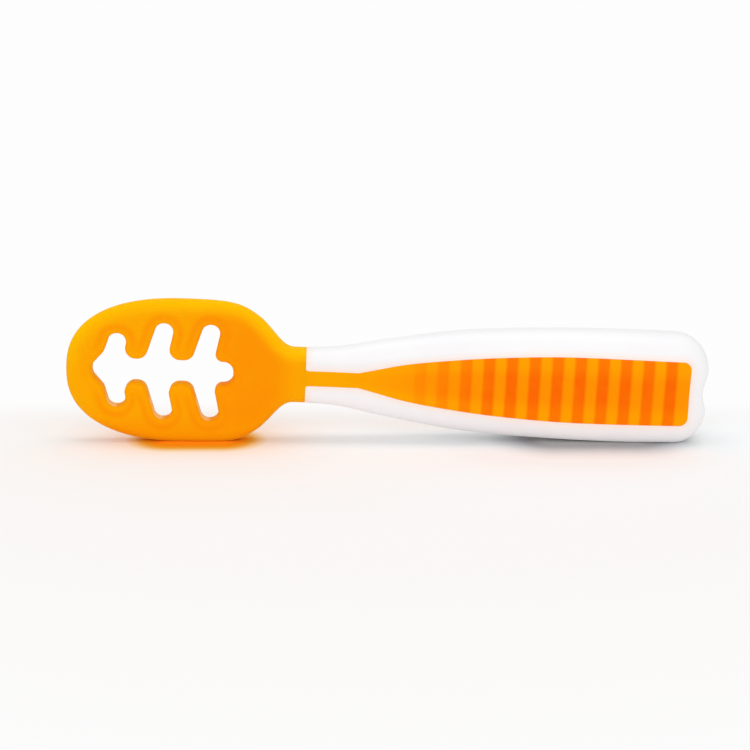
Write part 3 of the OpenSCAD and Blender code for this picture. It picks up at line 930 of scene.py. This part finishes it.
def head_material():
    skin = Skin("soft_orange_head")
    rim, slot, along, up, facing = skin.marked("rim_mm", "slot_mm", "along_mm", "across_mm", "wall_highlight")
    colour = skin.blend(skin.step(along, *TIP_SPAN), HEAD_TIP, HEAD_BODY)
    # painted glow: the lower head is paler, for light scattered up from the floor
    colour = skin.blend(skin.fall(up, *LOW_GLOW_SPAN), colour, HEAD_LOW_GLOW)
    colour = skin.blend(skin.step(along, *NECK_SPAN), colour, HEAD_NECK)
    # painted highlight along the rim, strongest at the top where the light falls
    rim_highlight = skin.times(skin.fall(rim, *RIM_HIGHLIGHT_SPAN), skin.step(up, *RIM_HIGHLIGHT_UP_SPAN, *RIM_HIGHLIGHT_SHARES))
    colour = skin.blend(rim_highlight, colour, HEAD_RIM_HIGHLIGHT)
    # painted shade along the bottom rim, which faces the floor
    low_rim_shade = skin.times(skin.fall(rim, *LOW_RIM_SHADE_WIDTH), skin.fall(up, *LOW_RIM_SHADE_SPAN))
    colour = skin.blend(low_rim_shade, colour, HEAD_LOW_RIM_SHADE)
    ring = skin.times(skin.step(slot, *RING_START), skin.fall(slot, *RING_STOP))
    from_middle = skin.math("ABSOLUTE", up)
    ring = skin.times(ring, skin.step(from_middle, *RING_UP_SPAN, *RING_SHARES))
    colour = skin.blend(ring, colour, HEAD_RING)
    mottle = skin.step(skin.noise(*HEAD_MOTTLE_NOISE), *HEAD_MOTTLE_SPAN)
    colour = skin.blend(skin.times(mottle, HEAD_MOTTLE_SHARE), colour, HEAD_MOTTLE)
    # painted reflection: the lower slot walls that face up are painted pale
    wall_highlight = skin.times(skin.step(facing, *FACING_SPAN), skin.fall(up, *WALL_HIGHLIGHT_UP_SPAN, WALL_HIGHLIGHT_SHARE))
    colour = skin.blend(skin.times(skin.fall(slot, *WALL_SPAN), wall_highlight), colour, HEAD_WALL_HIGHLIGHT)
    skin.set(Subsurface_Weight=SCATTER, Subsurface_Scale=SCATTER_REACH, Subsurface_Radius=SCATTER_COLOURS)
    return skin.finish(colour, ORANGE_SPECULAR, HEAD_GLOSS, ORANGE_GRAIN)


# the grips: pale over a land of the core and deep over a groove, each at the grip's edge and in its
# middle, paler at the neck, and the two colours that mottle them
PALE_EDGE, PALE_MIDDLE, PALE_NECK = srgb(255, 161, 0), srgb(255, 146, 0), srgb(251, 170, 0)
DEEP_EDGE, DEEP_MIDDLE = srgb(252, 120, 0), srgb(250, 105, 0)
PALE_MOTTLE, DEEP_MOTTLE = srgb(255, 156, 0), srgb(255, 128, 0)
PALE_MOTTLE_SHARE, DEEP_MOTTLE_SHARE = 0.2, 0.35
GRIP_MOTTLE_NOISE, GRIP_MOTTLE_SPAN = (260.0, 3.0, 0.6), (0.35, 0.7)
# in mm: from a groove's middle, along the handle from the first groove's middle, and along it from
# the seam, past the last groove and at the neck
GROOVE_SPAN = (0.75, 1.6)
FIRST_SPAN = (-2.6, -1.6)
LAST_SPAN, GRIP_NECK_SPAN = (75.2, 75.9), (2.0, 29.0)
# how deep the colour is over the first groove, and what it gains with each mm
FIRST_DEPTH, DEPTH_GAIN = 0.3, 0.0478
# across the grip, as shares of its half width
MIDDLE_SPAN = (0.25, 0.8)
GRIP_GLOSS = (900.0, 0.4, 0.5)


def groove_share(skin, along):
    """How deep the colour is, from 0 over a land of the core to 1 over a full groove."""
    first = float(groove_x[0])
    phase = skin.math("DIVIDE", skin.math("SUBTRACT", along, first - GROOVE_PITCH / 2), GROOVE_PITCH)
    off = skin.math("ABSOLUTE", skin.math("SUBTRACT", skin.math("FRACT", phase), 0.5))
    share = skin.fall(skin.times(off, GROOVE_PITCH), *GROOVE_SPAN)
    at_start = FIRST_DEPTH - DEPTH_GAIN * first
    share = skin.times(share, skin.math("MULTIPLY_ADD", along, DEPTH_GAIN, at_start, clamp=True))
    share = skin.times(share, skin.step(along, first + FIRST_SPAN[0], first + FIRST_SPAN[1]))
    return skin.times(share, skin.fall(along, *LAST_SPAN))


def grip_material():
    skin = Skin("soft_orange_grip")
    along, across, half = skin.marked("along_mm", "across_mm", "half_mm")
    middle = skin.fall(skin.math("DIVIDE", skin.math("ABSOLUTE", across), half), *MIDDLE_SPAN)
    pale = skin.blend(middle, PALE_EDGE, PALE_MIDDLE)
    pale = skin.blend(skin.fall(along, *GRIP_NECK_SPAN), pale, PALE_NECK)
    deep = skin.blend(middle, DEEP_EDGE, DEEP_MIDDLE)
    mottle = skin.step(skin.noise(*GRIP_MOTTLE_NOISE), *GRIP_MOTTLE_SPAN)
    pale = skin.blend(skin.times(mottle, PALE_MOTTLE_SHARE), pale, PALE_MOTTLE)
    deep = skin.blend(skin.times(mottle, DEEP_MOTTLE_SHARE), deep, DEEP_MOTTLE)
    colour = skin.blend(groove_share(skin, along), pale, deep)
    return skin.finish(colour, ORANGE_SPECULAR, GRIP_GLOSS, ORANGE_GRAIN)


# the jacket: two whites in soft patches, and a painted orange glow for the light that bleeds into it,
# this far in mm from a grip and from the head
WHITE_BRIGHT, WHITE_DULL, WHITE_GLOW = srgb(247, 246, 247), srgb(244, 243, 245), srgb(255, 226, 208)
GRIP_GLOW, HEAD_GLOW, GLOW_SHARE = 1.7, 2.0, 0.5
WHITE_PATCHES = (60.0, 2.0)
WHITE_SPECULAR = 0.3
WHITE_GLOSS, WHITE_GRAIN = (800.0, 0.36, 0.44), (1500.0, 2.0, 0.03)


def white_material():
    skin = Skin("soft_white_jacket")
    from_grip, along = skin.marked("grip_mm", "along_mm")
    # painted glow: orange light bleeding into the white near a grip and the head
    glow = skin.math("MAXIMUM", skin.fall(from_grip, 0.0, GRIP_GLOW), skin.fall(along, 0.0, HEAD_GLOW))
    body = skin.blend(skin.step(skin.noise(*WHITE_PATCHES), *NOISE_SPAN), WHITE_BRIGHT, WHITE_DULL)
    colour = skin.blend(skin.times(glow, GLOW_SHARE), body, WHITE_GLOW)
    return skin.finish(colour, WHITE_SPECULAR, WHITE_GLOSS, WHITE_GRAIN)


# the core: two off-whites in soft patches, duller and rougher than the jacket
CORE_BRIGHT, CORE_DULL = srgb(236, 236, 230), srgb(228, 228, 221)
CORE_PATCHES = (90.0, 3.0)
CORE_SPECULAR = 0.4
CORE_GLOSS, CORE_GRAIN = (700.0, 0.5, 0.62), (1200.0, 3.0, 0.08)


def core_material():
    skin = Skin("stiff_white_core")
    patches = skin.step(skin.noise(*CORE_PATCHES), *NOISE_SPAN)
    colour = skin.blend(patches, CORE_BRIGHT, CORE_DULL)
    return skin.finish(colour, CORE_SPECULAR, CORE_GLOSS, CORE_GRAIN)


# put together
head = build_head()
jacket, grip_front, grip_back = build_handle()
orange_head, orange_grip = head_material(), grip_material()
soft_white, stiff_white = white_material(), core_material()
for obj, node, slot, mat in (
    (head, "head", "head_orange", orange_head),
    (jacket, "handle_jacket", "soft_white", soft_white),
    (grip_front, "front_grip", "grip_orange", orange_grip),
    (grip_back, "back_grip", "grip_orange", orange_grip),
):
    obj.data.materials.clear()
    obj.data.materials.append(mat)
    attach(obj, "root")
    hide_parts(node)
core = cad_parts["handle_core"]
for s in core.material_slots:
    s.material = stiff_white

# floor
# half its side in metres
FLOOR_HALF = 3.0
FLOOR_COLOUR = (0.94, 0.925, 0.92, 1.0)
# the background that the camera sees, and its strength
WHITE = (1.0, 1.0, 1.0, 1.0)
SHOWN = 0.985
# places along the spoon, in mm, between which its head and its handle touch the floor
HEAD_FOOT, HANDLE_FOOT = (-44.0, -34.0), (34.0, 50.0)
# distance from a foot in mm, and what the floor's colour is multiplied by there: a painted orange glow
# where light comes through the head, and a painted shadow where the handle's foot lies in its own shade,
# with a faint blue further out that cancels the orange light bounced from the grips
TINT_REACH = 60.0
PLAIN = (TINT_REACH, (1.0, 1.0, 1.0))
HEAD_PAINTED_GLOW = (
    (0.0, (1.9, 0.55, 0.01)), (2.0, (1.5, 0.42, 0.01)), (3.4, (1.0, 0.32, 0.01)),
    (5.0, (0.92, 0.36, 0.01)), (6.4, (0.88, 0.48, 0.06)), (8.0, (0.94, 0.77, 0.45)),
    (9.6, (1.0, 0.94, 0.85)), (13.0, (1.0, 0.98, 0.95)), (18.0, (1.0, 1.0, 0.99)), PLAIN,
)
HANDLE_PAINTED_SHADOW = (
    (0.0, (0.7, 0.7, 0.7)), (3.2, (0.57, 0.57, 0.57)), (4.8, (0.47, 0.46, 0.47)),
    (6.4, (0.49, 0.49, 0.51)), (7.9, (0.6, 0.62, 0.64)), (9.6, (0.72, 0.75, 0.77)),
    (11.4, (0.83, 0.87, 0.89)), (13.2, (0.93, 0.96, 0.97)), (15.5, (0.98, 1.01, 1.02)),
    (26.0, (1.0, 1.03, 1.04)), PLAIN,
)
# the floor fades into the background over these distances, in metres, from the frame's origin and
# behind the spoon
FAR_FADE, BEHIND_FADE = (0.06, 0.22), (0.012, 0.034)


def tinted(m, xyz, colour, foot, tints):
    """The colour multiplied by painted glow and shadow, by distance on the floor from a foot."""
    held = m.math("MINIMUM", m.math("MAXIMUM", xyz["X"], foot[0] * MM), foot[1] * MM)
    aside = m.math("SUBTRACT", xyz["X"], held)
    square = m.math("ADD", m.times(aside, aside), m.times(xyz["Y"], xyz["Y"]))
    ramp = m.add("ValToRGB", m.math("DIVIDE", m.math("SQRT", square), TINT_REACH * MM))
    stops = ramp.color_ramp.elements
    for k, (d, tint) in enumerate(tints):
        stop = stops[k] if k < len(stops) else stops.new(d / TINT_REACH)
        stop.position = d / TINT_REACH
        stop.color = (*tint, 1.0)
    return m.blend(1.0, colour, ramp.outputs["Color"], "MULTIPLY")


def floor_material():
    """Pale and matt, with the painted glow and shadow and the fading for the camera alone."""
    mat = bpy.data.materials.new("pale_floor")
    m = Shader(mat)
    place = m.add("NewGeometry").outputs["Position"]
    xyz = m.add("SeparateXYZ", place).outputs
    camera_ray = m.add("LightPath").outputs["Is Camera Ray"]
    shaded = tinted(m, xyz, FLOOR_COLOUR, HEAD_FOOT, HEAD_PAINTED_GLOW)
    shaded = tinted(m, xyz, shaded, HANDLE_FOOT, HANDLE_PAINTED_SHADOW)
    colour = m.blend(camera_ray, FLOOR_COLOUR, shaded)
    away = m.add("VectorMath", place, operation="LENGTH").outputs["Value"]
    faded = m.math("MAXIMUM", m.step(away, *FAR_FADE), m.step(xyz["Y"], *BEHIND_FADE))
    m.show(m.add("BsdfDiffuse", colour), m.times(faded, camera_ray), m.add("Emission", WHITE, SHOWN))
    return mat


def build_floor():
    mesh = bpy.data.meshes.new("floor")
    corners = [(x * FLOOR_HALF, y * FLOOR_HALF, 0) for x, y in ((-1, -1), (1, -1), (1, 1), (-1, 1))]
    mesh.from_pydata(corners, [], [(0, 1, 2, 3)])
    mesh.materials.append(floor_material())
    obj = bpy.data.objects.new("floor", mesh)
    bpy.context.scene.collection.objects.link(obj)
    return obj


floor = build_floor()

# light
# strength of the world's light
SKY = 0.75
# place in metres, width, depth and watts
SOFTBOXES = {
    "top_softbox": ((0.0, 0.02, 0.8), 0.7, 0.3, 1.4),
    "front_softbox": ((0.0, -0.9, 0.4), 0.8, 0.5, 1.75),
}


def studio():
    """The world, with soft light and a plain background for the camera."""
    world = bpy.data.worlds.new("studio")
    m = Shader(world, "ShaderNodeOutputWorld")
    camera_ray = m.add("LightPath").outputs["Is Camera Ray"]
    m.show(m.add("Background", WHITE, SKY), camera_ray, m.add("Background", WHITE, SHOWN))
    return world


def softbox(name, place, width, depth, watts):
    """A rectangular lamp that points at the frame's origin."""
    data = bpy.data.lights.new(name, "AREA")
    data.shape = "RECTANGLE"
    data.size = width
    data.size_y = depth
    data.energy = watts
    lamp = bpy.data.objects.new(name, data)
    bpy.context.scene.collection.objects.link(lamp)
    aim = (-Vector(place)).to_track_quat("-Z", "Y")
    lamp.matrix_world = Matrix.Translation(Vector(place)) @ aim.to_matrix().to_4x4()


bpy.context.scene.world = studio()
for name, settings in SOFTBOXES.items():
    softbox(name, *settings)

bpy.context.scene.view_settings.view_transform = "Standard"
